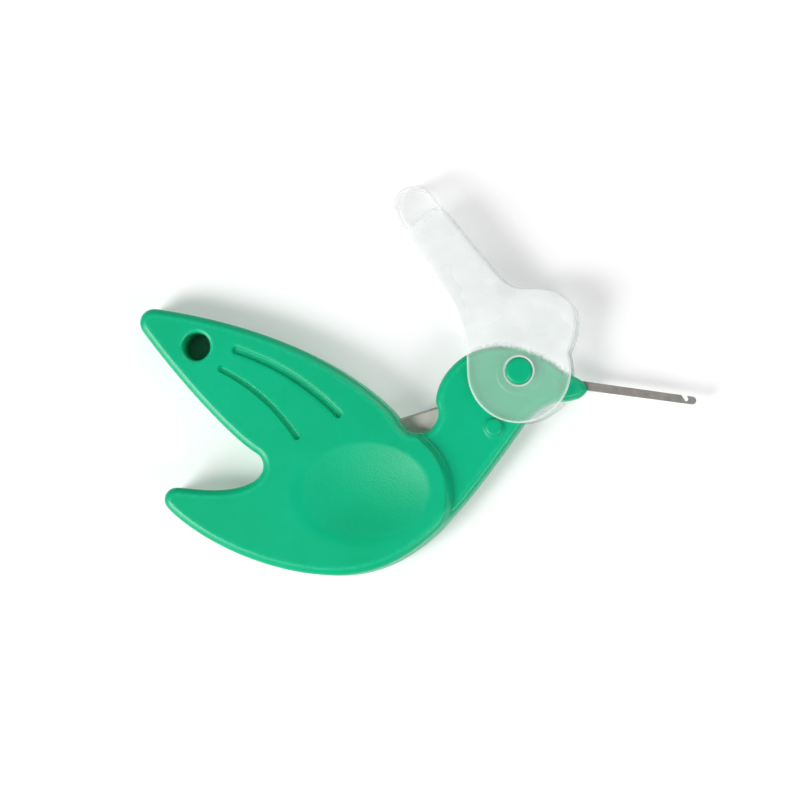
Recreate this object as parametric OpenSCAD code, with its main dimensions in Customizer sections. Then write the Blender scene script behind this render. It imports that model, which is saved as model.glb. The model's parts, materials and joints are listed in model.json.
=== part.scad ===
/* [Handle] */
// Distance from the pivot to the wing tip
wing_reach = 55.25; // [54.7:0.05:55.6]
// Thickness of the handle, both shells together
handle_t = 6.6; // [6.2:0.1:7]
// Thickness of the thinned neck and head, both shells together
neck_t = 3.9; // [3.8:0.1:4.2]
// Radius of the step between the thick handle and the thin neck
step_r = 10.9; // [10.7:0.1:11.1]

/* [Handle details] */
// Diameter of the lanyard hole through the wing
lanyard_d = 4; // [3:0.1:4.4]
// Length of the oval thumb dish
dish_l = 18.8; // [15:0.1:19]
// Width of the oval thumb dish
dish_w = 13.8; // [10:0.1:14]
// Depth of the thumb dish
dish_depth = 1.05; // [0.6:0.05:1.2]
// Depth of the two feather grooves
groove_depth = 0.7; // [0.3:0.05:0.8]

/* [Cover] */
// Thickness of the cover over its two cheeks
cover_t = 6.2; // [6:0.1:6.2]
// Wall of each cheek
cheek_wall = 0.8; // [0.6:0.05:0.9]
// Radius of the round end of the cheeks
cheek_r = 7.45; // [7:0.05:7.5]
// Diameter of the bosses that the cover turns on
boss_d = 3.8; // [3:0.1:4]
// Running clearance between a boss and its hole, on the radius
boss_gap = 0.07; // [0.05:0.01:0.1]
// Width of the slit that lets the hook into the cover
slit_w = 1.2; // [1:0.1:2]

/* [Hook] */
// Thickness of the steel strip
hook_t = 0.3; // [0.2:0.05:0.4]
// Width of the strip where it leaves the beak
hook_root_w = 1.26; // [1:0.02:1.6]
// Width of the strip at its tip
hook_tip_w = 1.13; // [0.9:0.01:1.3]
// Distance from the pivot to the end of the hook, along the strip
hook_reach = 25.5; // [23:0.1:25.8]
// Angle of the strip below the length of the handle
hook_angle = 8.2; // [6:0.1:10]

/* [Blade] */
// Thickness of the thread cutter blade
blade_t = 0.4; // [0.3:0.05:0.6]
// Length of the blade along its edge
blade_l = 11; // [10:0.1:12]
// Height of the blade
blade_h = 5.5; // [5:0.1:6]

/* [Hidden] */

$fn = 72;

// Everything is drawn about the pivot, on the plane between the shells,
// and then moved so that the handle lies on z = 0.
pivot = [15.06, 1.17, handle_t / 2];
handle_z = handle_t / 2;
neck_z = neck_t / 2;
cover_z = cover_t / 2;
cheek_z = cover_z - cheek_wall;
land_z = cheek_z - 0.1;
land_r = 3.5;
tall = 20;
eps = 0.01;

// The outline's own points give a wing reach of 54.7, and are stretched to the reach asked for
long = wing_reach / 54.7;
function stretched(p) = [long * p[0], p[1]];

// Lengths of the moulded pegs, and the play round them
peg_r = 0.9;
peg_play = 0.05;
peg_l = 1.1;
peg_root = 0.6;
pegs = [[0, 0], [-36, 3.8], [-42.5, -20.5], [-13.6, -10.6]];

// The strip runs below the pivot; its tang is a disc about the pivot
hook_drop = -0.73;
hook_root_at = 8;
tang_r = 2.2;

// Outline of the bird, clockwise from the wing tip
wing_tip = [-52.7, 7.45];
wing_tip_r = 2;
notch = [-14.6, -5.9];
notch_r = 2.9;
tail_tip = [-49.3, -18.17];
tail_tip_r = 1.74;
step_centre = [-20.5, -17.9];
lanyard_at = [-46.8, 3.9];
dish_at = [-22.2, -17.1];
bump_at = [-3.6, -8];
bump_r = 1.2;
bump_z = 2.9;
blade_at = [-15.1, -5.82];
blade_angle = 17.2;

// Outline of the cover, anticlockwise from the left end of its cheeks
cap_tip = [-15.1, 23.75];
cap_tip_r = 3.05;
chamber_r = 10.7;
sleeve_end = 26.8;
arm_angle = 122.2;

// Points along an arc, both ends included
function arc(c, r, from, to, n) =
    [for (i = [0:n]) c + r * [cos(from + (to - from) * i / n), sin(from + (to - from) * i / n)]];

// Points along a cubic Bezier curve, leaving out its last point
function curve(a, b, c, d, n) =
    [for (i = [0:n - 1]) let (t = i / n, u = 1 - t)
        u * u * u * a + 3 * u * u * t * b + 3 * u * t * t * c + t * t * t * d];

outline = [for (p = concat(
    arc(wing_tip, wing_tip_r, 217, 81, 8),
    curve([-52.0, 9.4], [-40.4, 7.5], [-27, 3.4], [-18, -5.8], 14),
    arc(notch, notch_r, 195, 385, 16),
    curve([-12.1, -4.4], [-12.1, -1.1], [-8.8, 3.7], [-2.7, 3.75], 10),
    curve([-2.7, 3.75], [0.9, 3.75], [4.4, 1.7], [6.7, -0.2], 8),
    [[6.7, -0.2], [8.6, -1.25], [9.3, -2.0], [9.55, -2.75], [8.4, -3.85]],
    curve([6.5, -4.3], [4.6, -4.1], [2.7, -5.0], [0.7, -7.15], 6),
    curve([0.7, -7.15], [-1.6, -10.4], [-5.5, -15.9], [-8.09, -18.9], 8),
    curve([-8.09, -18.9], [-13.04, -24.5], [-18.2, -29.15], [-26.2, -29.15], 12),
    curve([-26.2, -29.15], [-34.6, -29.15], [-44.9, -25], [-50.5, -19.45], 12),
    arc(tail_tip, tail_tip_r, 220, 95, 7),
    curve([-48.8, -16.45], [-46, -16.75], [-42, -17.3], [-39.15, -16.1], 6),
    curve([-39.15, -16.1], [-37.2, -15.5], [-35.8, -13.6], [-37.3, -11.8], 7),
    curve([-37.3, -11.8], [-41.4, -9.5], [-49.5, -0.3], [-54.3, 6.25], 12))) stretched(p)];

cap_outline = concat(
    arc([0, 0], cheek_r, 180, 380, 40),
    [[7.95, 4.9]],
    curve([8.1, 5.6], [8.3, 8.2], [8.3, 8.9], [7, 10.2], 7),
    curve([7, 10.2], [5.2, 11.9], [3.2, 11.9], [1, 11.83], 7),
    curve([1, 11.83], [-0.9, 11.8], [-2.2, 12.8], [-3.9, 14.8], 6),
    arc(cap_tip, cap_tip_r, 39, 216, 14),
    curve([-9.98, 10.5], [-8.5, 8.1], [-7.5, 5.2], [-7.5, 1.2], 8));

// Room above the neck and head, where the shell is thin
module neck_cut() {
    translate([0, 0, neck_z]) linear_extrude(tall) difference() {
        polygon([[-14.2, 12], [-14.2, -24], [4, -24], [14, -6], [14, 12]]);
        translate(step_centre) circle(r = step_r, $fn = 120);
    }
    // the beak thins towards its tip
    translate([6.2, -10, neck_z]) rotate([0, 18, 0]) cube([tall, tall, tall]);
}

// Oval dish cut by the outer side of a wide ring
module dish() {
    ring_r = dish_l * dish_l / (8 * dish_depth);
    tube_r = dish_w * dish_w / (8 * dish_depth);
    translate([dish_at[0], dish_at[1], handle_z - dish_depth + ring_r]) rotate([90, 0, 0])
        rotate_extrude($fn = 240) intersection() {
            translate([ring_r - tube_r, 0]) circle(r = tube_r, $fn = 240);
            translate([0, -tall]) square([2 * ring_r, 2 * tall]);
        }
}

// Groove along an arc with round ends
module groove(c, r, from, to, w) {
    translate([0, 0, handle_z - groove_depth]) linear_extrude(tall) polygon(concat(
        arc(c, r + w / 2, from, to, 14),
        arc(c + r * [cos(to), sin(to)], w / 2, to + 20, to + 160, 5),
        arc(c, r - w / 2, to, from, 14),
        arc(c + r * [cos(from), sin(from)], w / 2, from + 200, from + 340, 5)));
}

// Shallow pocket inside the shell, drawn on the plane between the shells
module pocket(depth) {
    translate([0, 0, -eps]) linear_extrude(depth + eps) children();
}

// Places its children on the cutter blade: x along the edge, y up to it
module at_blade() {
    translate(blade_at) rotate(blade_angle) children();
}

// Flat shape of the strip and the tang that the head grips
module hook_outline(play) {
    reach = hook_reach - hook_tip_w / 2;
    rotate(-hook_angle) {
        translate([0, hook_drop]) polygon(concat(
            [[0, -hook_root_w / 2 - play], [hook_root_at, -hook_root_w / 2 - play]],
            arc([reach, 0], hook_tip_w / 2 + play, -90, 90, 8),
            [[hook_root_at, hook_root_w / 2 + play], [0, hook_root_w / 2 + play]]));
        circle(r = tang_r + play);
    }
}

// One half of the handle, lying above the plane between the shells
module shell_half() {
    play = 0.1;
    dome_r = 5.5;
    rim = 0.35;
    difference() {
        union() {
            difference() {
                linear_extrude(handle_z) polygon(outline);
                neck_cut();
            }
            cylinder(r = land_r, h = land_z);
            cylinder(d = boss_d, h = cover_z);
            // stop bump for the closed cover
            translate(bump_at) rotate_extrude() intersection() {
                translate([0, bump_z - dome_r]) circle(r = dome_r, $fn = 160);
                square([bump_r, bump_z]);
            }
        }
        translate([lanyard_at[0], lanyard_at[1], -eps]) cylinder(d = lanyard_d, h = tall);
        translate([lanyard_at[0], lanyard_at[1], handle_z - rim])
            cylinder(d1 = lanyard_d, d2 = lanyard_d + 2 * rim + 2 * eps, h = rim + eps);
        dish();
        groove([-52.5, -31.65], 36.8, 44.1, 71.8, 1.0);
        groove([-55.6, -24.55], 28.1, 33.2, 63.6, 0.96);
        pocket(blade_t / 2) at_blade() translate([-blade_l / 2 - play, -blade_h - play])
            square([blade_l + 2 * play, blade_h + 2 * play]);
        pocket(hook_t / 2) hook_outline(play);
        // cores that keep the wall even
        pocket(1.2) polygon([[-45.5, -0.6], [-39, 2.2], [-31, 0], [-25.5, -5], [-34.5, -9.2]]);
        pocket(1) polygon([[-33, -12], [-23.5, -11], [-20.5, -15], [-20.5, -24], [-31, -26], [-38, -21.5]]);
    }
}

// Front shell, with the sockets for the rear shell's pegs
module front_shell() {
    color([0.06, 0.73, 0.53]) translate(pivot) difference() {
        shell_half();
        for (p = pegs) translate([p[0], p[1], -eps])
            cylinder(r = peg_r + peg_play, h = peg_l + 0.15);
    }
}

// Rear shell, with the pegs
module rear_shell() {
    color([0.05, 0.64, 0.46]) translate(pivot) {
        mirror([0, 0, 1]) shell_half();
        for (p = pegs) translate([p[0], p[1], -peg_root])
            cylinder(r = peg_r, h = peg_root + peg_l);
    }
}

// Steel strip with the thread hook near its tip
module hook() {
    color([0.54, 0.54, 0.51]) translate(pivot) translate([0, 0, -hook_t / 2])
        linear_extrude(hook_t) difference() {
            hook_outline(0);
            circle(r = peg_r + peg_play);
            rotate(-hook_angle) translate([hook_reach - 2, hook_drop + hook_tip_w / 2])
                polygon(concat([[-0.3, 0.1], [0.5, 0.1]], arc([0.56, -0.5], 0.27, 15, -165, 8)));
        }
}

// Thread cutter blade, ground on both sides of its edge
module cutter_blade() {
    ground = 0.35;
    flat = 0.04;
    t = blade_t / 2;
    color([0.66, 0.66, 0.62]) translate(pivot) difference() {
        at_blade() translate([-blade_l / 2, 0]) rotate([90, 0, 90]) linear_extrude(blade_l)
            polygon([[-blade_h, -t], [-ground, -t], [0, -flat / 2],
                     [0, flat / 2], [-ground, t], [-blade_h, t]]);
        translate([pegs[3][0], pegs[3][1], -1]) cylinder(r = peg_r + peg_play, h = 2);
    }
}

// Room in the cover for the head, the beak and the hook
module cap_room() {
    end_l = sleeve_end * [cos(arm_angle), sin(arm_angle)];
    across = [sin(arm_angle), -cos(arm_angle)];
    translate([0, 0, -cheek_z]) linear_extrude(2 * cheek_z) {
        circle(r = chamber_r, $fn = 160);
        polygon([[-8.2, 9.3], [-15.9, 21.1], end_l - 1.6 * across, end_l + 1.6 * across,
                 [-11.6, 23.2], [-3.9, 13.4], [0, 5]]);
    }
    translate([0, 0, -slit_w / 2]) linear_extrude(slit_w)
        polygon([[0, 0], [-12, 18], end_l, end_l + 8 * across, [2, 15], [14, 14], [14, 0]]);
}

// Swinging cover: two cheeks on the head, joined along the spine and at the tip
module cover() {
    color([0.95, 0.96, 0.95, 0.5]) translate(pivot) difference() {
        translate([0, 0, -cover_z]) linear_extrude(cover_t) polygon(cap_outline);
        cap_room();
        translate([0, 0, -tall]) cylinder(d = boss_d + 2 * boss_gap, h = 2 * tall);
    }
}

front_shell();
rear_shell();
cover();
hook();
cutter_blade();
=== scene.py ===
import json
import math

import bmesh
import bpy
import numpy as np
from mathutils import Matrix, Vector, kdtree
from mathutils.geometry import delaunay_2d_cdt


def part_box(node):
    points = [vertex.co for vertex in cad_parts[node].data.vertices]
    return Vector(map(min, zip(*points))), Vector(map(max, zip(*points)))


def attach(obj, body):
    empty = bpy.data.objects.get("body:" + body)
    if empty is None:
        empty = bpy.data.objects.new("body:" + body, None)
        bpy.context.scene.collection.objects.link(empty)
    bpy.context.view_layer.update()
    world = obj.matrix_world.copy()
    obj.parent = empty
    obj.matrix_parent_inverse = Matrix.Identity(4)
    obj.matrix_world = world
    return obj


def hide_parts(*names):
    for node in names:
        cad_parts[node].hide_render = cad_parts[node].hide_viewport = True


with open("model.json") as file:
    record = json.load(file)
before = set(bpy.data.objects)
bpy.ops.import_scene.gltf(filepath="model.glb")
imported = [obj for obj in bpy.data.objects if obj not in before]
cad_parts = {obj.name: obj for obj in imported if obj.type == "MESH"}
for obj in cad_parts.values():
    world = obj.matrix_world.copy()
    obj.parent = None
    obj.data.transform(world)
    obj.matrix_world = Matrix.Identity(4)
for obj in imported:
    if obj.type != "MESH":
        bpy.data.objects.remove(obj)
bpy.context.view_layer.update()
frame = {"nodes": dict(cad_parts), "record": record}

# ---------------------------------------------------------------- sizes
# Millimetres, about the cover's pivot, with z = 0 on the plane between the shells.
MM = 0.001
JOINT = frame["record"]["behaviour"]["joints"][0]
PIVOT = np.array(JOINT["pos_m"]) / MM

# The outline's points give a wing reach of 54.7, and are stretched to the model's.
LONG = (PIVOT[0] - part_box("front_shell")[0].x / MM) / 54.7

HANDLE_Z = (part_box("front_shell")[1].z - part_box("front_shell")[0].z) / MM
COVER_Z = (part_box("cover")[1].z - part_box("cover")[0].z) / MM / 2
NECK_Z = 1.95
NECK_FROM, NECK_WHOLE, NECK_LOWEST = -15.3, -13.6, -24
BEAK_FROM, BEAK_SLOPE, BEAK_CURVE = 5.6, 0.26, 0.012
LAND_Z, LAND_R, LAND_BEVEL, LAND_BEVEL_DROP = 2.2, 3.5, 0.3, 0.25
CHEEK_Z = 2.3
BOSS_R, BOSS_BEVEL, BOSS_BEVEL_DROP = 1.9, 0.28, 0.18
BUMP_AT, BUMP_R, BUMP_Z, BUMP_FLAT = np.array([-3.7, -8.0]), 1.5, 2.5, 0.66
HOLE_AT, HOLE_R = np.array([-46.8, 3.9]), 2.0
STEP_AT, STEP_R = np.array([-20.5, -17.9]), 10.9
STEP_W = 0.95
DISH_AT, DISH_HALF, DISH_DEPTH = np.array([-22.2, -17.1]), np.array([9.4, 6.9]), 1.05
# The dish's edge blends into the face least at the upper right, and more by DISH_SOFTER
# at the lower left.
DISH_SOFT, DISH_SOFTER = 0.08, 0.38
# Each feather groove: centre and radius of its arc, start and end angle, half width.
GROOVES = [
    (np.array([-52.5, -31.65]), 36.8, 44.1, 71.8, 0.60),
    (np.array([-55.6, -24.55]), 28.1, 33.2, 63.6, 0.56),
]
GROOVE_DEPTH = 0.52
RIM_W, RIM_DROP = 0.95, 0.85
HOLE_MOUTH, HOLE_MOUTH_DROP = 0.55, 0.45
PARTING_W, PARTING_H = 0.07, 0.12
HOOK_ANGLE, HOOK_DROP = -8.2, -0.73
HOOK_W, HOOK_T, TANG_R = 1.26, 0.3, 2.2
BLADE_AT, BLADE_ANGLE = np.array([-15.1, -5.82]), 17.2
BLADE_L, BLADE_H, BLADE_T = 11.0, 5.5, 0.4


# ---------------------------------------------------------------- plane curves
def arc(centre, radius, start, end, count):
    """An arc of count steps, its angles in degrees."""
    a = np.radians(np.linspace(start, end, count + 1))
    return np.asarray(centre, float) + radius * np.stack([np.cos(a), np.sin(a)], 1)


def bezier(a, b, c, d, count):
    """A curve from a towards d, without its last point."""
    t = np.linspace(0, 1, count, endpoint=False)[:, None]
    a, b, c, d = (np.asarray(p, float) for p in (a, b, c, d))
    return (1 - t) ** 3 * a + 3 * (1 - t) ** 2 * t * b + 3 * (1 - t) * t * t * c + t**3 * d


def resample(pts, step, smooth=0.0):
    """A closed line with points a step apart, its corners rounded over the given length."""
    loop = np.vstack([pts, pts[:1]])
    run = np.concatenate([[0], np.cumsum(np.linalg.norm(np.diff(loop, axis=0), axis=1))])
    count = int(round(run[-1] / step))
    at = np.linspace(0, run[-1], count, endpoint=False)
    out = np.stack([np.interp(at, run, loop[:, k]) for k in (0, 1)], 1)
    if smooth:
        reach = int(3 * smooth / step)
        weights = np.exp(-0.5 * (np.arange(-reach, reach + 1) * step / smooth) ** 2)
        weights /= weights.sum()
        out = sum(w * np.roll(out, k, axis=0) for w, k in zip(weights, range(-reach, reach + 1)))
    return out


def inward(pts):
    """Unit normals of a clockwise closed line, pointing in."""
    t = np.roll(pts, -1, axis=0) - np.roll(pts, 1, axis=0)
    n = np.stack([t[:, 1], -t[:, 0]], 1)
    return n / np.linalg.norm(n, axis=1)[:, None]


def line_distance(pts, line, closed=True):
    """Distance of each point from a line of points."""
    a = line if closed else line[:-1]
    b = np.roll(line, -1, axis=0) if closed else line[1:]
    ab = b - a
    length2 = (ab**2).sum(1)
    out = np.empty(len(pts))
    for i in range(0, len(pts), 2000):
        p = pts[i : i + 2000, None, :]
        t = np.clip(((p - a) * ab).sum(2) / length2, 0, 1)
        out[i : i + 2000] = np.sqrt((((a + t[..., None] * ab) - p) ** 2).sum(2).min(1))
    return out


def inside(pts, line):
    """True for each point that lies inside the closed line."""
    a, b = line, np.roll(line, -1, axis=0)
    out = np.zeros(len(pts), bool)
    for i in range(0, len(pts), 4000):
        x, y = pts[i : i + 4000, 0, None], pts[i : i + 4000, 1, None]
        crosses = (a[:, 1] > y) != (b[:, 1] > y)
        with np.errstate(divide="ignore", invalid="ignore"):
            at = (b[:, 0] - a[:, 0]) * (y - a[:, 1]) / (b[:, 1] - a[:, 1]) + a[:, 0]
        out[i : i + 4000] = (crosses & (x < at)).sum(1) % 2 == 1
    return out


def smoothstep(lo, hi, x):
    t = np.clip((x - lo) / (hi - lo), 0, 1)
    return t * t * (3 - 2 * t)


def turned(pts, degrees):
    """The points turned anticlockwise about the origin."""
    a = math.radians(degrees)
    c, s = math.cos(a), math.sin(a)
    return np.asarray(pts, float) @ np.array([[c, s], [-s, c]])


def bird_outline():
    """The handle's outline, clockwise from the wing tip."""
    return np.vstack([
        arc((-52.7, 7.45), 2.0, 217, 81, 16),
        bezier((-52.0, 9.4), (-40.4, 7.5), (-27.0, 3.4), (-18.0, -5.8), 60),
        arc((-14.6, -5.9), 2.9, 195, 385, 40),
        bezier((-12.1, -4.4), (-12.1, -1.1), (-8.8, 3.7), (-2.7, 3.75), 40),
        bezier((-2.7, 3.75), (0.9, 3.75), (4.4, 1.7), (6.7, -0.2), 30),
        np.array([(6.7, -0.2), (8.6, -1.25), (9.3, -2.0), (9.55, -2.75), (8.4, -3.85)]),
        bezier((6.5, -4.3), (4.6, -4.1), (2.7, -5.0), (0.7, -7.15), 20),
        bezier((0.7, -7.15), (-1.6, -10.4), (-5.5, -15.9), (-8.09, -18.9), 40),
        bezier((-8.09, -18.9), (-13.04, -24.5), (-18.2, -29.15), (-26.2, -29.15), 50),
        bezier((-26.2, -29.15), (-34.6, -29.15), (-44.9, -25.0), (-50.5, -19.45), 50),
        arc((-49.3, -18.17), 1.74, 220, 95, 14),
        bezier((-48.8, -16.45), (-46.0, -16.75), (-42.0, -17.3), (-39.15, -16.1), 20),
        bezier((-39.15, -16.1), (-37.2, -15.5), (-35.8, -13.6), (-37.3, -11.8), 14),
        bezier((-37.3, -11.8), (-41.4, -9.5), (-49.5, -0.3), (-54.3, 6.25), 50),
    ])


def cover_outline():
    """The cover's outline, anticlockwise from the left end of its cheeks."""
    return np.vstack([
        arc((0, 0), 7.45, 180, 380, 60),
        np.array([(7.95, 4.9)]),
        bezier((8.1, 5.6), (8.3, 8.2), (8.3, 8.9), (7.0, 10.2), 14),
        bezier((7.0, 10.2), (5.2, 11.9), (3.2, 11.9), (1.0, 11.83), 14),
        bezier((1.0, 11.83), (-0.9, 11.8), (-2.2, 12.8), (-3.9, 14.8), 14),
        arc((-15.1, 23.75), 3.05, 39, 216, 24),
        bezier((-9.98, 10.5), (-8.5, 8.1), (-7.5, 5.2), (-7.5, 1.2), 20),
    ])


OUTLINE_STEP = 0.28
OUTLINE = resample(bird_outline() * [LONG, 1], OUTLINE_STEP, smooth=0.35)
COVER_LINE = resample(cover_outline(), OUTLINE_STEP, smooth=0.22)
COVER_ROUND, COVER_HOLE_R, COVER_MOUTH, COVER_MOUTH_DROP = 0.38, 1.97, 0.45, 0.3
CHAMBER_R, RECESS_R, RECESS_DEPTH, SLIT_Z = 10.8, 5.8, 0.12, 0.6

# The arm's direction and the direction across it, the room inside it, and the slit
# through which the hook swings in.
ARM = arc((0, 0), 1, 122.2, 122.2, 1)[0]
ACROSS = np.array([ARM[1], -ARM[0]])
SLEEVE_END = 26.8 * ARM
SLEEVE = resample(np.array([
    (-8.2, 9.3), (-15.9, 21.1), SLEEVE_END - 1.6 * ACROSS, SLEEVE_END + 1.6 * ACROSS,
    (-11.6, 23.2), (-3.9, 13.4), (0, 5),
]), 0.2, smooth=0.08)
SLIT = np.array([(0, 0), (-12, 18), SLEEVE_END, SLEEVE_END + 8 * ACROSS, (2, 15), (14, 14), (14, 0)])


# ---------------------------------------------------------------- heights of the shell's face
def groove_line(groove):
    """Points along the middle of a groove."""
    centre, radius, start, end, _ = groove
    return arc(centre, radius, start, end, 60)


def face_height(pts, edge):
    """Height of the front shell's outer face at each point, whose distance from the outline is edge."""
    x, y = pts[:, 0], pts[:, 1]
    from_step = np.linalg.norm(pts - STEP_AT, axis=1) - STEP_R
    neck = smoothstep(-STEP_W, 0, from_step) * smoothstep(NECK_FROM, NECK_WHOLE, x)
    neck *= y > NECK_LOWEST
    body = np.full(len(pts), HANDLE_Z)
    across = (pts - DISH_AT) / DISH_HALF
    t = 1 - (across**2).sum(1)
    soft = DISH_SOFT + DISH_SOFTER * smoothstep(0.4, -0.7, across.sum(1) / math.sqrt(2))
    dish = np.where(t > soft, t, np.where(t > -soft, (t + soft) ** 2 / (4 * soft), 0))
    body -= DISH_DEPTH * dish
    for groove in GROOVES:
        away = line_distance(pts, groove_line(groove), closed=False)
        body -= GROOVE_DEPTH * (1 - smoothstep(0.5, 1.05, away / groove[4]))
    beak = np.clip(x - BEAK_FROM, 0, None)
    thin = NECK_Z - BEAK_SLOPE * beak - BEAK_CURVE * beak**2
    z = body * (1 - neck) + thin * neck
    # rounded rim, with a crest where it meets the face
    drop = np.minimum(RIM_DROP, 0.62 * z)
    u = np.clip(1 - edge / (RIM_W * (1 - 0.3 * neck)), 0, 1)
    z = z - drop * (0.30 * u + 0.70 * (1 - np.sqrt(1 - np.minimum(u, 0.9999) ** 2)))
    # lanyard hole's rim
    rim = np.clip(1 - (np.linalg.norm(pts - HOLE_AT, axis=1) - HOLE_R) / HOLE_MOUTH, 0, 1)
    z -= HOLE_MOUTH_DROP * (1 - np.sqrt(1 - np.minimum(rim, 0.9999) ** 2))
    # land, boss and stop bump
    r = np.linalg.norm(pts, axis=1)
    land = LAND_Z - LAND_BEVEL_DROP * smoothstep(LAND_R - LAND_BEVEL, LAND_R, r)
    z = np.where(r < LAND_R, np.maximum(z, land), z)
    boss = COVER_Z - BOSS_BEVEL_DROP * smoothstep(BOSS_R - BOSS_BEVEL, BOSS_R, r)
    z = np.where(r < BOSS_R - 0.01, boss, z)
    b = np.linalg.norm(pts - BUMP_AT, axis=1)
    disc = NECK_Z + (BUMP_Z - NECK_Z) * (1 - smoothstep(BUMP_FLAT, 1.0, b / BUMP_R))
    return np.where(b < BUMP_R, disc, z)


def painted_crest_highlight(pts, edge):
    """Where the painted highlight goes: 1 on the crest of the rim and on the lanyard hole's edge, 0 on the
    flats.
    """
    crest = np.exp(-(((edge - RIM_W) / 0.22) ** 2))
    hole = np.exp(-(((np.linalg.norm(pts - HOLE_AT, axis=1) - HOLE_R - 0.35) / 0.2) ** 2))
    return np.clip(crest + hole, 0, 1)


def dish_mask(pts):
    """1 inside the thumb dish, 0 outside it."""
    t = 1 - (((pts - DISH_AT) / DISH_HALF) ** 2).sum(1)
    return smoothstep(-0.05, 0.12, t)


# ---------------------------------------------------------------- meshes
def thinned(groups):
    """Points of all the groups, leaving out those of a later group that crowd an earlier one."""
    kept = []
    for pts, gap in groups:
        if len(kept):
            done = np.vstack(kept)
            tree = kdtree.KDTree(len(done))
            for i, p in enumerate(done):
                tree.insert((p[0], p[1], 0), i)
            tree.balance()
            pts = np.array([p for p in pts if tree.find((p[0], p[1], 0))[2] > gap]).reshape(-1, 2)
        kept.append(pts)
    return np.vstack(kept)


def triangles(pts, loops, outer, holes=()):
    """Triangles over the points that keep the loops as edges and fill the outer line less the holes."""
    edges = []
    for start, count in loops:
        edges += [(start + i, start + (i + 1) % count) for i in range(count)]
    verts, _, faces, _, _, _ = delaunay_2d_cdt([Vector(p) for p in pts], edges, [], 0, 1e-7)
    flat = np.array([v[:] for v in verts])
    tris = np.array([f for f in faces if len(f) == 3])
    mid = flat[tris].mean(axis=1)
    keep = inside(mid, outer)
    for hole in holes:
        keep &= ~inside(mid, hole)
    return flat, tris[keep]


def add_sheet(bm, flat, tris, z, up):
    """Adds a sheet of triangles at heights z, facing up or down."""
    made = [bm.verts.new((p[0], p[1], h)) for p, h in zip(flat, z)]
    for t in tris:
        a, b, c = (flat[i] for i in t)
        left = (b[0] - a[0]) * (c[1] - a[1]) - (b[1] - a[1]) * (c[0] - a[0]) > 0
        order = t if left == up else t[::-1]
        bm.faces.new([made[i] for i in order])


def add_wall(bm, rings, flip):
    """Adds a wall through closed rings of points, each a list of (x, y, z)."""
    made = [[bm.verts.new(p) for p in ring] for ring in rings]
    count = len(rings[0])
    for low, high in zip(made, made[1:]):
        for i in range(count):
            j = (i + 1) % count
            quad = [low[i], low[j], high[j], high[i]]
            bm.faces.new(quad[::-1] if flip else quad)


def finish_mesh(name, bm, angle=38):
    """Welds the faces into one closed mesh in metres, and makes an object of it."""
    mesh = bpy.data.meshes.new(name)
    bmesh.ops.remove_doubles(bm, verts=bm.verts, dist=0.0005)
    bmesh.ops.dissolve_degenerate(bm, edges=bm.edges, dist=0.0001)
    loose = [v for v in bm.verts if not v.link_faces]
    bmesh.ops.delete(bm, geom=loose, context="VERTS")
    bmesh.ops.recalc_face_normals(bm, faces=bm.faces)
    for v in bm.verts:
        v.co = (v.co + Vector(PIVOT)) * MM
    bm.to_mesh(mesh)
    bm.free()
    piece = bpy.data.objects.new(name, mesh)
    bpy.context.scene.collection.objects.link(piece)
    mesh.shade_smooth()
    mesh.set_sharp_from_angle(angle=math.radians(angle))
    return piece


def set_point_value(piece, name, values):
    attribute = piece.data.attributes.new(name, "FLOAT", "POINT")
    attribute.data.foreach_set("value", np.asarray(values, np.float32))


def plane_points(piece):
    """The piece's points in millimetres about the pivot."""
    co = np.empty(len(piece.data.vertices) * 3)
    piece.data.vertices.foreach_get("co", co)
    return co.reshape(-1, 3) / MM - PIVOT


def grid(outline, step):
    """Points of an even triangular grid inside the outline."""
    lo, hi = outline.min(0), outline.max(0)
    rows = []
    for k, y in enumerate(np.arange(lo[1], hi[1], step * 0.866)):
        xs = np.arange(lo[0] + (k % 2) * step / 2, hi[0], step)
        rows.append(np.stack([xs, np.full(len(xs), y)], 1))
    pts = np.vstack(rows)
    return pts[inside(pts, outline)]


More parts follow.
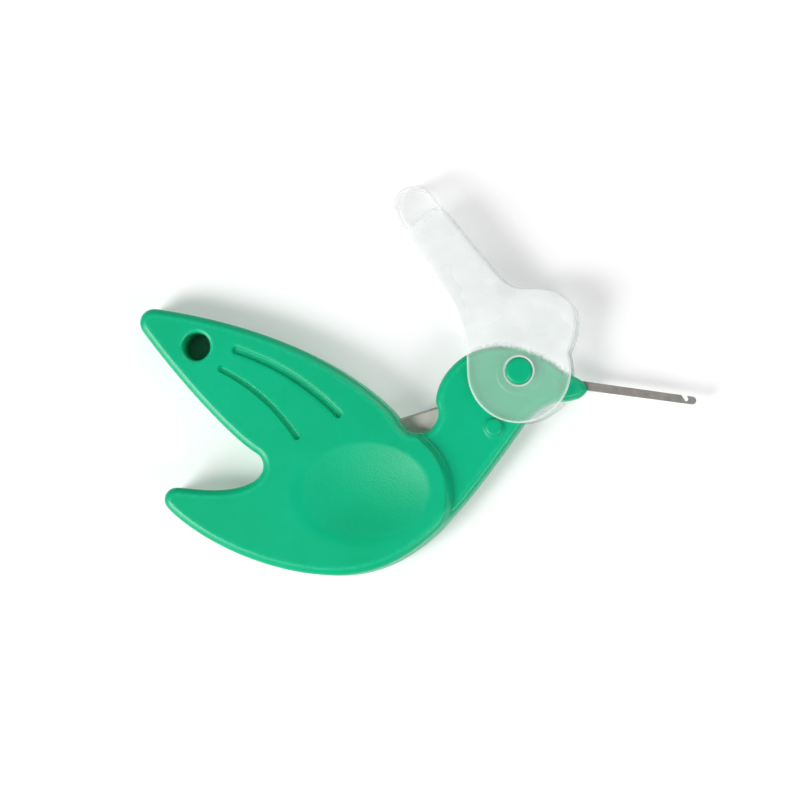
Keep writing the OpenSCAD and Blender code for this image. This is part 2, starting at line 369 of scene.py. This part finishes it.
def face_points():
    """Points of the shell's outer face: rings along each feature, then an even grid between them."""
    normal = inward(OUTLINE)
    count = len(OUTLINE)
    rings = []
    for d in (0.03, 0.08, 0.15, 0.24, 0.35, 0.48, 0.62, 0.76, 0.88, 0.95, 1.10):
        ring = OUTLINE + normal * d
        rings.append(ring[line_distance(ring, OUTLINE) > d - 0.015])
    hole = arc(HOLE_AT, HOLE_R, 0, 360, 64)[:-1]
    mouth = (0.05, 0.13, 0.25, 0.4, 0.55, 0.7)
    round_rings = [arc(HOLE_AT, HOLE_R + d, 0, 360, 64)[:-1] for d in mouth]
    boss = [arc((0, 0), r, 0, 360, 72)[:-1] for r in (BOSS_R - 0.02, BOSS_R)]
    round_rings += [arc((0, 0), r, 0, 360, 72)[:-1] for r in (1.85, 1.78, 1.7, 1.6, 1.2, LAND_R - LAND_BEVEL)]
    round_rings += [arc((0, 0), r, 0, 360, 96)[:-1] for r in (LAND_R - 0.02, LAND_R + 0.01)]
    bump = [arc(BUMP_AT, BUMP_R * q, 0, 360, 48)[:-1] for q in (0.86, 1.0)]
    round_rings += [arc(BUMP_AT, BUMP_R * q, 0, 360, 48)[:-1] for q in (0.93, 0.79, 0.72, 0.6, 0.4, 0.2)]
    lines = []
    for groove in GROOVES:
        centre, radius, start, end, _ = groove
        for d in (0, 0.14, 0.26, 0.34, 0.42, 0.50, 0.58, 0.66):
            for side in (1, -1):
                lines.append(arc(centre, radius + side * d, start, end, 240))
            for at, turn in ((start, 180), (end, 0)):
                tip = arc(centre, radius, at, at, 1)[0]
                lines.append(arc(tip, d, at + turn, at + turn + 180, 2 + int(d * 30)))
    for d in (-1.1, -STEP_W, -0.8, -0.62, -0.47, -0.3, -0.15, 0, 0.15):
        lines.append(arc(STEP_AT, STEP_R + d, -20, 62, 60))
    for q in (0.9, 0.94, 0.97, 1.0, 1.03, 1.06):
        lines.append(DISH_AT + DISH_HALF * q * arc((0, 0), 1, 0, 360, 140)[:-1])
    fixed = np.vstack([OUTLINE, hole] + boss + bump)
    starts = np.cumsum([0, count, len(hole), len(boss[0]), len(boss[1]), len(bump[0])])
    sizes = [count, len(hole), len(boss[0]), len(boss[1]), len(bump[0]), len(bump[1])]
    free = [(np.vstack(rings), 0.02), (np.vstack(round_rings), 0.03), (np.vstack(lines), 0.05)]
    free.append((grid(OUTLINE, 0.42), 0.2))
    pts = thinned([(fixed, 0)] + free)
    keep = np.ones(len(pts), bool)
    rest = slice(len(fixed), None)
    keep[rest] = inside(pts[rest], OUTLINE)
    keep[rest] &= line_distance(pts[rest], OUTLINE) > 0.02
    keep[rest] &= np.linalg.norm(pts[rest] - HOLE_AT, axis=1) > HOLE_R + 0.02
    return pts[keep], list(zip(starts, sizes)), hole


def pocket_depth(pts):
    """How deep the shell's inner face lies above the plane between the shells."""
    blade = turned(pts - BLADE_AT, -BLADE_ANGLE)
    in_blade = (np.abs(blade[:, 0]) < BLADE_L / 2 + 0.1) & (blade[:, 1] < 0.02)
    in_blade &= blade[:, 1] > -BLADE_H - 0.1
    strip = turned(pts, -HOOK_ANGLE)
    in_hook = (np.abs(strip[:, 1] - HOOK_DROP) < HOOK_W / 2 + 0.1) & (strip[:, 0] > 0)
    in_hook |= np.linalg.norm(pts, axis=1) < TANG_R + 0.1
    return np.where(in_blade, BLADE_T / 2, np.where(in_hook, HOOK_T / 2, 0.0))


def make_shells(material):
    """Both shells: the front one, and the rear one as its mirror image."""
    pts, loops, hole = face_points()
    flat, tris = triangles(pts, loops, OUTLINE, [hole])
    edge = line_distance(flat, OUTLINE)
    z = face_height(flat, edge)
    normal = inward(OUTLINE)
    rim = face_height(OUTLINE, np.zeros(len(OUTLINE)))
    hole_z = float(face_height(hole, line_distance(hole, OUTLINE)).mean())
    z[np.abs(np.linalg.norm(flat - HOLE_AT, axis=1) - HOLE_R) < 0.004] = hole_z
    inner = OUTLINE + normal * PARTING_W
    inner_pts = thinned([(np.vstack([inner, hole]), 0), (grid(OUTLINE, 0.5), 0.25)])
    keep = np.ones(len(inner_pts), bool)
    rest = slice(len(inner) + len(hole), None)
    keep[rest] = line_distance(inner_pts[rest], OUTLINE) > PARTING_W + 0.1
    keep[rest] &= np.linalg.norm(inner_pts[rest] - HOLE_AT, axis=1) > HOLE_R + 0.1
    inner_pts = inner_pts[keep]
    inner_loops = [(0, len(inner)), (len(inner), len(hole))]
    low_flat, low_tris = triangles(inner_pts, inner_loops, inner, [hole])
    low_edge = line_distance(low_flat, OUTLINE)
    depth = np.where(low_edge > PARTING_W + 0.05, pocket_depth(low_flat), 0.0)
    depth[np.abs(np.linalg.norm(low_flat - HOLE_AT, axis=1) - HOLE_R) < 0.01] = 0
    for name, side in (("front_shell", 1), ("rear_shell", -1)):
        bm = bmesh.new()
        add_sheet(bm, flat, tris, side * z, side > 0)
        add_sheet(bm, low_flat, low_tris, side * depth, side < 0)
        heights = [rim, np.minimum(rim, 0.9)] + [np.full(len(rim), h) for h in (0.3, PARTING_H)]
        rings = [[(p[0], p[1], side * h) for p, h in zip(OUTLINE, hs)] for hs in heights]
        rings.append([(p[0], p[1], 0.0) for p in inner])
        add_wall(bm, rings, side > 0)
        well = [[(p[0], p[1], side * h) for p in hole] for h in (hole_z, 1.4, 0.0)]
        add_wall(bm, well, side < 0)
        piece = finish_mesh("green_" + name, bm)
        co = plane_points(piece)[:, :2]
        away = line_distance(co, OUTLINE)
        # mask of the painted highlight on the rim's crest and round the lanyard hole
        set_point_value(piece, "crest_highlight_paint", painted_crest_highlight(co, away))
        set_point_value(piece, "dish", dish_mask(co))
        piece.data.materials.append(material)
        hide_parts(name)
        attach(piece, "body")


def cover_height(pts, edge):
    """Height of the cover's outer face, with its rounded rim and the rounded mouth of its hole."""
    u = np.clip(1 - edge / COVER_ROUND, 0, 0.9999)
    z = COVER_Z - COVER_ROUND * (1 - np.sqrt(1 - u**2))
    mouth = np.clip(1 - (np.linalg.norm(pts, axis=1) - COVER_HOLE_R) / COVER_MOUTH, 0, 0.9999)
    return z - COVER_MOUTH_DROP * (1 - np.sqrt(1 - mouth**2))


def cover_inner(pts):
    """Height of the cover's inner face: in the room, in the slit, or 0 where it is solid."""
    room = (np.linalg.norm(pts, axis=1) < CHAMBER_R) | inside(pts, SLEEVE)
    recess = np.linalg.norm(pts, axis=1) < RECESS_R
    slit = inside(pts, SLIT)
    return np.where(recess, CHEEK_Z + RECESS_DEPTH, np.where(room, CHEEK_Z, np.where(slit, SLIT_Z, 0.0)))


def cover_points():
    """Points of the cover's outer face, with its rim, its hole and the borders of its inner rooms."""
    outline = COVER_LINE
    normal = -inward(outline)
    rings = []
    for d in (0.02, 0.06, 0.12, 0.2, 0.29, 0.38, 0.5):
        ring = outline + normal * d
        rings.append(ring[line_distance(ring, outline) > d - 0.01])
    hole = arc((0, 0), COVER_HOLE_R, 0, 360, 80)[:-1]
    around = [arc((0, 0), COVER_HOLE_R + d, 0, 360, 80)[:-1] for d in (0.04, 0.1, 0.18, 0.28, 0.4, 0.5)]
    recess = arc((0, 0), RECESS_R, 0, 360, 120)[:-1]
    chamber = arc((0, 0), CHAMBER_R, 0, 360, 200)[:-1]
    sleeve = resample(SLEEVE, 0.3)
    slit = resample(SLIT, 0.3)
    edges_of = [chamber[~inside(chamber, SLEEVE)], sleeve[np.linalg.norm(sleeve, axis=1) > CHAMBER_R]]
    slit_room = (np.linalg.norm(slit, axis=1) < CHAMBER_R) | inside(slit, SLEEVE)
    edges_of.append(slit[~slit_room])
    fixed = np.vstack([outline, hole, recess])
    loops = [(0, len(outline)), (len(outline), len(hole)), (len(outline) + len(hole), len(recess))]
    borders = [e[inside(e, outline) & (line_distance(e, outline) > 0.03)] for e in edges_of]
    free = [(np.vstack(borders), 0.05), (np.vstack(rings), 0.04), (np.vstack(around), 0.03)]
    free.append((grid(outline, 0.45), 0.22))
    pts = thinned([(fixed, 0)] + free)
    keep = np.ones(len(pts), bool)
    rest = slice(len(fixed), None)
    keep[rest] = inside(pts[rest], outline) & (np.linalg.norm(pts[rest], axis=1) > COVER_HOLE_R + 0.02)
    return pts[keep], loops, hole


def cover_haze(pts):
    """How cloudy the plastic is: most past the head, least over the head and at the tip."""
    from_head = line_distance(pts, OUTLINE) * np.where(inside(pts, OUTLINE), -1, 1)
    tip = smoothstep(25.0, 26.4, pts @ ARM)
    chin = smoothstep(-1.0, -4.0, pts[:, 1])
    return smoothstep(-0.9, 0.9, from_head) * (1 - tip) * (1 - 0.8 * chin)


def cover_painted_highlight(pts):
    """1 along the cover's rim and round its hole, where a painted highlight stands for the light gathering in
    the edge.
    """
    edge = line_distance(pts, COVER_LINE)
    mouth = np.linalg.norm(pts, axis=1) - COVER_HOLE_R
    return np.maximum(1 - smoothstep(0.10, 0.34, edge), 1 - smoothstep(0.15, 0.40, mouth))


def make_cover(material):
    """The cover: rounded outside, with room inside for the head, beak and hook."""
    pts, loops, hole = cover_points()
    flat, tris = triangles(pts, loops, COVER_LINE, [hole])
    edge = line_distance(flat, COVER_LINE)
    top = cover_height(flat, edge)
    low = np.round(cover_inner(flat[tris].mean(axis=1)), 4)
    levels = sorted(set(low) | {0.0})
    bm = bmesh.new()
    beside = {}
    for index, tri in enumerate(tris):
        for i, j in zip(tri, np.roll(tri, -1)):
            beside.setdefault((min(i, j), max(i, j)), []).append(index)
    for side in (1, -1):
        add_sheet(bm, flat, tris, side * top, side > 0)
        for height in sorted(set(low[low > 0])):
            add_sheet(bm, flat, tris[low == height], np.full(len(flat), side * height), side < 0)
        for (i, j), sides in beside.items():
            a, b = flat[i], flat[j]
            if len(sides) == 1:
                foot, head = low[sides[0]], (top[i], top[j])
            elif low[sides[0]] != low[sides[1]]:
                foot, high = sorted((low[sides[0]], low[sides[1]]))
                head = (high, high)
            else:
                continue
            rungs = [(h, h) for h in levels if foot <= h < min(head) - 0.001] + [head]
            for under, over in zip(rungs, rungs[1:]):
                corners = [(a[0], a[1], side * over[0]), (b[0], b[1], side * over[1]),
                           (b[0], b[1], side * under[1]), (a[0], a[1], side * under[0])]
                bm.faces.new([bm.verts.new(c) for c in corners])
    piece = finish_mesh("clear_cover", bm, angle=30)
    co = plane_points(piece)
    set_point_value(piece, "haze", cover_haze(co[:, :2]))
    # mask of the painted highlight along the cover's rim and round its hole
    set_point_value(piece, "painted_edge_highlight", cover_painted_highlight(co[:, :2]))
    piece.data.materials.append(material)
    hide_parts("cover")
    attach(piece, "cover")


# ---------------------------------------------------------------- materials
def srgb(r, g, b):
    """Linear colour of a colour given in 0 to 255."""
    def channel(v):
        v /= 255
        return v / 12.92 if v <= 0.04045 else ((v + 0.055) / 1.055) ** 2.4
    return (channel(r), channel(g), channel(b), 1.0)


RANGE_SOCKETS = ("From Min", "From Max", "To Min", "To Max")


class Nodes:
    """A material's node tree, with short calls for the nodes used here."""

    def __init__(self, name):
        self.material = bpy.data.materials.new(name)
        self.material.use_nodes = True
        self.tree = self.material.node_tree
        self.shader = self.tree.nodes["Principled BSDF"]

    def add(self, kind, **values):
        made = self.tree.nodes.new(kind)
        for key, value in values.items():
            setattr(made, key, value)
        return made

    def link(self, out, into):
        self.tree.links.new(out, into)

    def place(self, stretch=(1, 1, 1), turn=0.0):
        """Object coordinates in millimetres, stretched and then turned about z."""
        source = self.add("ShaderNodeTexCoord")
        mapping = self.add("ShaderNodeMapping")
        mapping.inputs["Rotation"].default_value = (0, 0, turn)
        mapping.inputs["Scale"].default_value = [1000 * s for s in stretch]
        self.link(source.outputs["Object"], mapping.inputs["Vector"])
        return mapping.outputs["Vector"]

    def noise(self, place, scale, detail=3.0, rough=0.5):
        made = self.add("ShaderNodeTexNoise")
        made.inputs["Scale"].default_value = scale
        made.inputs["Detail"].default_value = detail
        made.inputs["Roughness"].default_value = rough
        self.link(place, made.inputs["Vector"])
        return made.outputs["Fac"]

    def ramp(self, value, low, high, out_low, out_high):
        made = self.add("ShaderNodeMapRange")
        for key, number in zip(RANGE_SOCKETS, (low, high, out_low, out_high)):
            made.inputs[key].default_value = number
        self.link(value, made.inputs["Value"])
        return made.outputs["Result"]

    def mix(self, factor, a, b):
        made = self.add("ShaderNodeMix", data_type="RGBA")
        self.link(factor, made.inputs["Factor"])
        for value, socket in ((a, made.inputs["A"]), (b, made.inputs["B"])):
            if isinstance(value, tuple):
                socket.default_value = value
            else:
                self.link(value, socket)
        return made.outputs["Result"]

    def math(self, operation, a, b):
        made = self.add("ShaderNodeMath", operation=operation)
        for value, socket in zip((a, b), made.inputs):
            if isinstance(value, (int, float)):
                socket.default_value = value
            else:
                self.link(value, socket)
        return made.outputs["Value"]

    def attribute(self, name):
        return self.add("ShaderNodeAttribute", attribute_name=name).outputs["Fac"]

    def bump(self, height, strength, distance, below=None):
        made = self.add("ShaderNodeBump")
        made.inputs["Distance"].default_value = distance
        if isinstance(strength, (int, float)):
            made.inputs["Strength"].default_value = strength
        else:
            self.link(strength, made.inputs["Strength"])
        self.link(height, made.inputs["Height"])
        if below is not None:
            self.link(below, made.inputs["Normal"])
        return made.outputs["Normal"]

    def set(self, **values):
        for key, value in values.items():
            socket = self.shader.inputs[key.replace("_", " ")]
            if isinstance(value, (int, float, tuple)):
                socket.default_value = value
            else:
                self.link(value, socket)


def green_plastic():
    """Satin moulded plastic, with a paler painted highlight along the rim's crest and the hole's edge, and
    grainy in the dish.
    """
    n = Nodes("green_plastic")
    place = n.place()
    broad = n.noise(place, 0.09, 2.0)
    fine = n.noise(place, 2.2, 4.0, 0.6)
    grain = n.noise(place, 4.2, 3.0, 0.6)
    base = n.mix(n.ramp(broad, 0.35, 0.65, 0, 1), srgb(0, 172, 121), srgb(0, 178, 129))
    # painted highlight: a paler green mixed in along the rim's crest and the lanyard hole's edge
    crest_highlight_paint = n.math("MULTIPLY", n.attribute("crest_highlight_paint"), n.ramp(fine, 0.35, 0.7, 0.15, 0.6))
    highlight_painted_base = n.mix(crest_highlight_paint, base, srgb(40, 198, 150))
    dull_dish = n.ramp(n.attribute("dish"), 0, 1, 0.0, 0.06)
    rough = n.math("ADD", n.ramp(fine, 0.3, 0.7, 0.30, 0.40), dull_dish)
    moulded = n.bump(fine, 0.10, 0.00006)
    strength = n.ramp(n.attribute("dish"), 0, 1, 0.04, 0.55)
    normal = n.bump(grain, strength, 0.00008, moulded)
    n.set(Base_Color=highlight_painted_base, Roughness=rough, Normal=normal)
    n.set(Specular_IOR_Level=0.34, IOR=1.49, Subsurface_Weight=0.12, Subsurface_Scale=0.0012)
    n.shader.inputs["Subsurface Radius"].default_value = (0.3, 1.0, 0.7)
    return n.material


def clear_cover():
    """Frosted plastic: see-through over the head, cloudy over the arm, with a painted highlight along its
    edges.
    """
    n = Nodes("clear_cover")
    place = n.place()
    cloud = n.noise(place, 0.22, 1.0, 0.5)
    patch = n.noise(place, 1.6, 4.0, 0.65)
    grain = n.noise(place, 5.0, 3.0, 0.6)
    base = n.mix(n.ramp(cloud, 0.1, 0.9, 0, 1), srgb(246, 250, 250), srgb(253, 255, 254))
    ragged = n.math("ADD", n.attribute("haze"), n.ramp(patch, 0.3, 0.7, -0.2, 0.2))
    haze = n.math("MULTIPLY", n.ramp(ragged, 0.2, 0.75, 0, 1), n.ramp(cloud, 0.1, 0.9, 0.36, 0.56))
    # painted highlight: whiter, more opaque plastic along the rim and round the hole
    painted_edge_highlight = n.math("MULTIPLY", n.attribute("painted_edge_highlight"), n.ramp(cloud, 0.3, 0.7, 0.28, 0.40))
    alpha = n.math("ADD", n.math("MAXIMUM", haze, painted_edge_highlight), n.ramp(cloud, 0.1, 0.9, 0.12, 0.15))
    rough = n.ramp(cloud, 0.3, 0.7, 0.22, 0.34)
    n.set(Base_Color=base, Roughness=rough, Normal=n.bump(grain, 0.08, 0.00004), Alpha=alpha)
    n.set(IOR=1.48, Transmission_Weight=0.05, Specular_IOR_Level=0.5)
    return n.material


def steel(name, dark, light, turn, rough_low, rough_high):
    """Steel with fine lines along x. The turn only picks another piece of the noise."""
    n = Nodes(name)
    lines = n.noise(n.place((0.12, 9.0, 9.0), turn), 1.6, 5.0, 0.65)
    cloud = n.noise(n.place(), 0.8, 2.0)
    tone = n.math("ADD", n.math("MULTIPLY", lines, 0.65), n.math("MULTIPLY", cloud, 0.35))
    base = n.mix(n.ramp(tone, 0.35, 0.65, 0, 1), dark, light)
    n.set(Base_Color=base, Roughness=n.ramp(lines, 0.3, 0.7, rough_low, rough_high), Metallic=1.0)
    n.set(Normal=n.bump(lines, 0.12, 0.00003))
    return n.material


# ---------------------------------------------------------------- stage
FLOOR_TONE, FLOOR_GLOW = 0.72, 0.30
# painted shade spot under the lanyard hole: no glow within the first radius, full glow past the second
SHADE_SPOT_R, SHADE_SPOT_FADE_R = 0.0030, 0.0045


def make_stage():
    """A pale floor that glows a little, with a spot of painted shade under the lanyard hole where the glow is
    left out.
    """
    bpy.ops.mesh.primitive_plane_add(size=3.0, location=(0, 0, -0.00002))
    floor = bpy.context.object
    floor.name = "floor"
    n = Nodes("floor_white")
    away = n.add("ShaderNodeVectorMath", operation="DISTANCE")
    n.link(n.add("ShaderNodeTexCoord").outputs["Object"], away.inputs[0])
    away.inputs[1].default_value = ((PIVOT[0] + HOLE_AT[0]) * MM, (PIVOT[1] + HOLE_AT[1]) * MM, 0)
    # painted shade: the glow fades out towards the floor point under the lanyard hole
    glow = n.ramp(away.outputs["Value"], SHADE_SPOT_R, SHADE_SPOT_FADE_R, 0.0, FLOOR_GLOW)
    n.set(Base_Color=(FLOOR_TONE, FLOOR_TONE, FLOOR_TONE, 1.0), Roughness=0.9, Specular_IOR_Level=0.0)
    n.set(Emission_Color=(1.0, 1.0, 1.0, 1.0), Emission_Strength=glow)
    floor.data.materials.append(n.material)


def area_light(name, place, size, power):
    """A square lamp aimed at the origin."""
    light = bpy.data.lights.new(name, "AREA")
    light.size, light.energy = size, power
    made = bpy.data.objects.new(name, light)
    made.location = place
    made.rotation_euler = (-Vector(place)).to_track_quat("-Z", "Y").to_euler()
    bpy.context.scene.collection.objects.link(made)


TENT_LIGHT, TENT_TOP, TENT_BACK = 1.8, 0.11, 0.85
# Each lamp: name, place, size, power.
LAMPS = [
    ("left_box", (-0.50, -0.28, 0.40), 0.35, 3.7),
    ("dish_box", (-0.38, -0.24, 0.58), 0.20, 1.7),
    ("right_box", (0.45, -0.40, 0.40), 0.35, 2.1),
    ("back_box", (0.34, 0.46, 0.42), 0.40, 1.7),
]


def make_lights():
    """A bright tent all round, darker straight overhead and a little darker behind."""
    world = bpy.data.worlds.new("studio")
    world.use_nodes = True
    tree = world.node_tree
    place = tree.nodes.new("ShaderNodeTexCoord")
    split = tree.nodes.new("ShaderNodeSeparateXYZ")
    tree.links.new(place.outputs["Generated"], split.inputs["Vector"])
    both = tree.nodes.new("ShaderNodeMath")
    both.operation = "MULTIPLY"
    fades = (("Z", (0.80, 0.97, TENT_LIGHT, TENT_TOP)), ("Y", (-0.2, 0.8, 1.0, TENT_BACK)))
    for (axis, numbers), factor in zip(fades, both.inputs):
        fade = tree.nodes.new("ShaderNodeMapRange")
        fade.interpolation_type = "SMOOTHSTEP"
        for key, number in zip(RANGE_SOCKETS, numbers):
            fade.inputs[key].default_value = number
        tree.links.new(split.outputs[axis], fade.inputs["Value"])
        tree.links.new(fade.outputs["Result"], factor)
    tree.links.new(both.outputs["Value"], tree.nodes["Background"].inputs["Strength"])
    bpy.context.scene.world = world
    for name, place, size, power in LAMPS:
        area_light(name, place, size, power)


def make_camera():
    """Square to the object's face but for 8 degrees from its right and 3 from below."""
    right, below = math.radians(8.0), math.radians(3.0)
    sight = np.array([math.sin(right), -math.sin(below), 0])
    sight[2] = math.sqrt(1 - (sight**2).sum())
    aim = (PIVOT + np.array([-17.1, -4.06, 3.1])) * MM
    distance, width = 0.60, 0.11463
    data = bpy.data.cameras.new("camera")
    data.sensor_width = 36.0
    data.lens = 36.0 * distance / width
    camera = bpy.data.objects.new("camera", data)
    camera.location = Vector(aim) + Vector(sight) * distance
    z = Vector(sight)
    x = Vector((0, 1, 0)).cross(z).normalized()
    y = z.cross(x)
    camera.rotation_euler = Matrix((x, y, z)).transposed().to_euler()
    bpy.context.scene.collection.objects.link(camera)
    bpy.context.scene.camera = camera


def main():
    make_stage()
    make_lights()
    make_camera()
    make_shells(green_plastic())
    make_cover(clear_cover())
    hook_turn, blade_turn = math.radians(-HOOK_ANGLE), math.radians(73)
    hook = steel("hook_steel", srgb(150, 147, 141), srgb(184, 181, 175), hook_turn, 0.5, 0.62)
    blade = steel("blade_steel", srgb(208, 208, 198), srgb(226, 226, 216), blade_turn, 0.5, 0.65)
    for node, material in (("hook", hook), ("cutter_blade", blade)):
        piece = frame["nodes"][node]
        piece.data.materials.clear()
        piece.data.materials.append(material)
    bpy.context.scene.view_settings.view_transform = "Standard"


main()
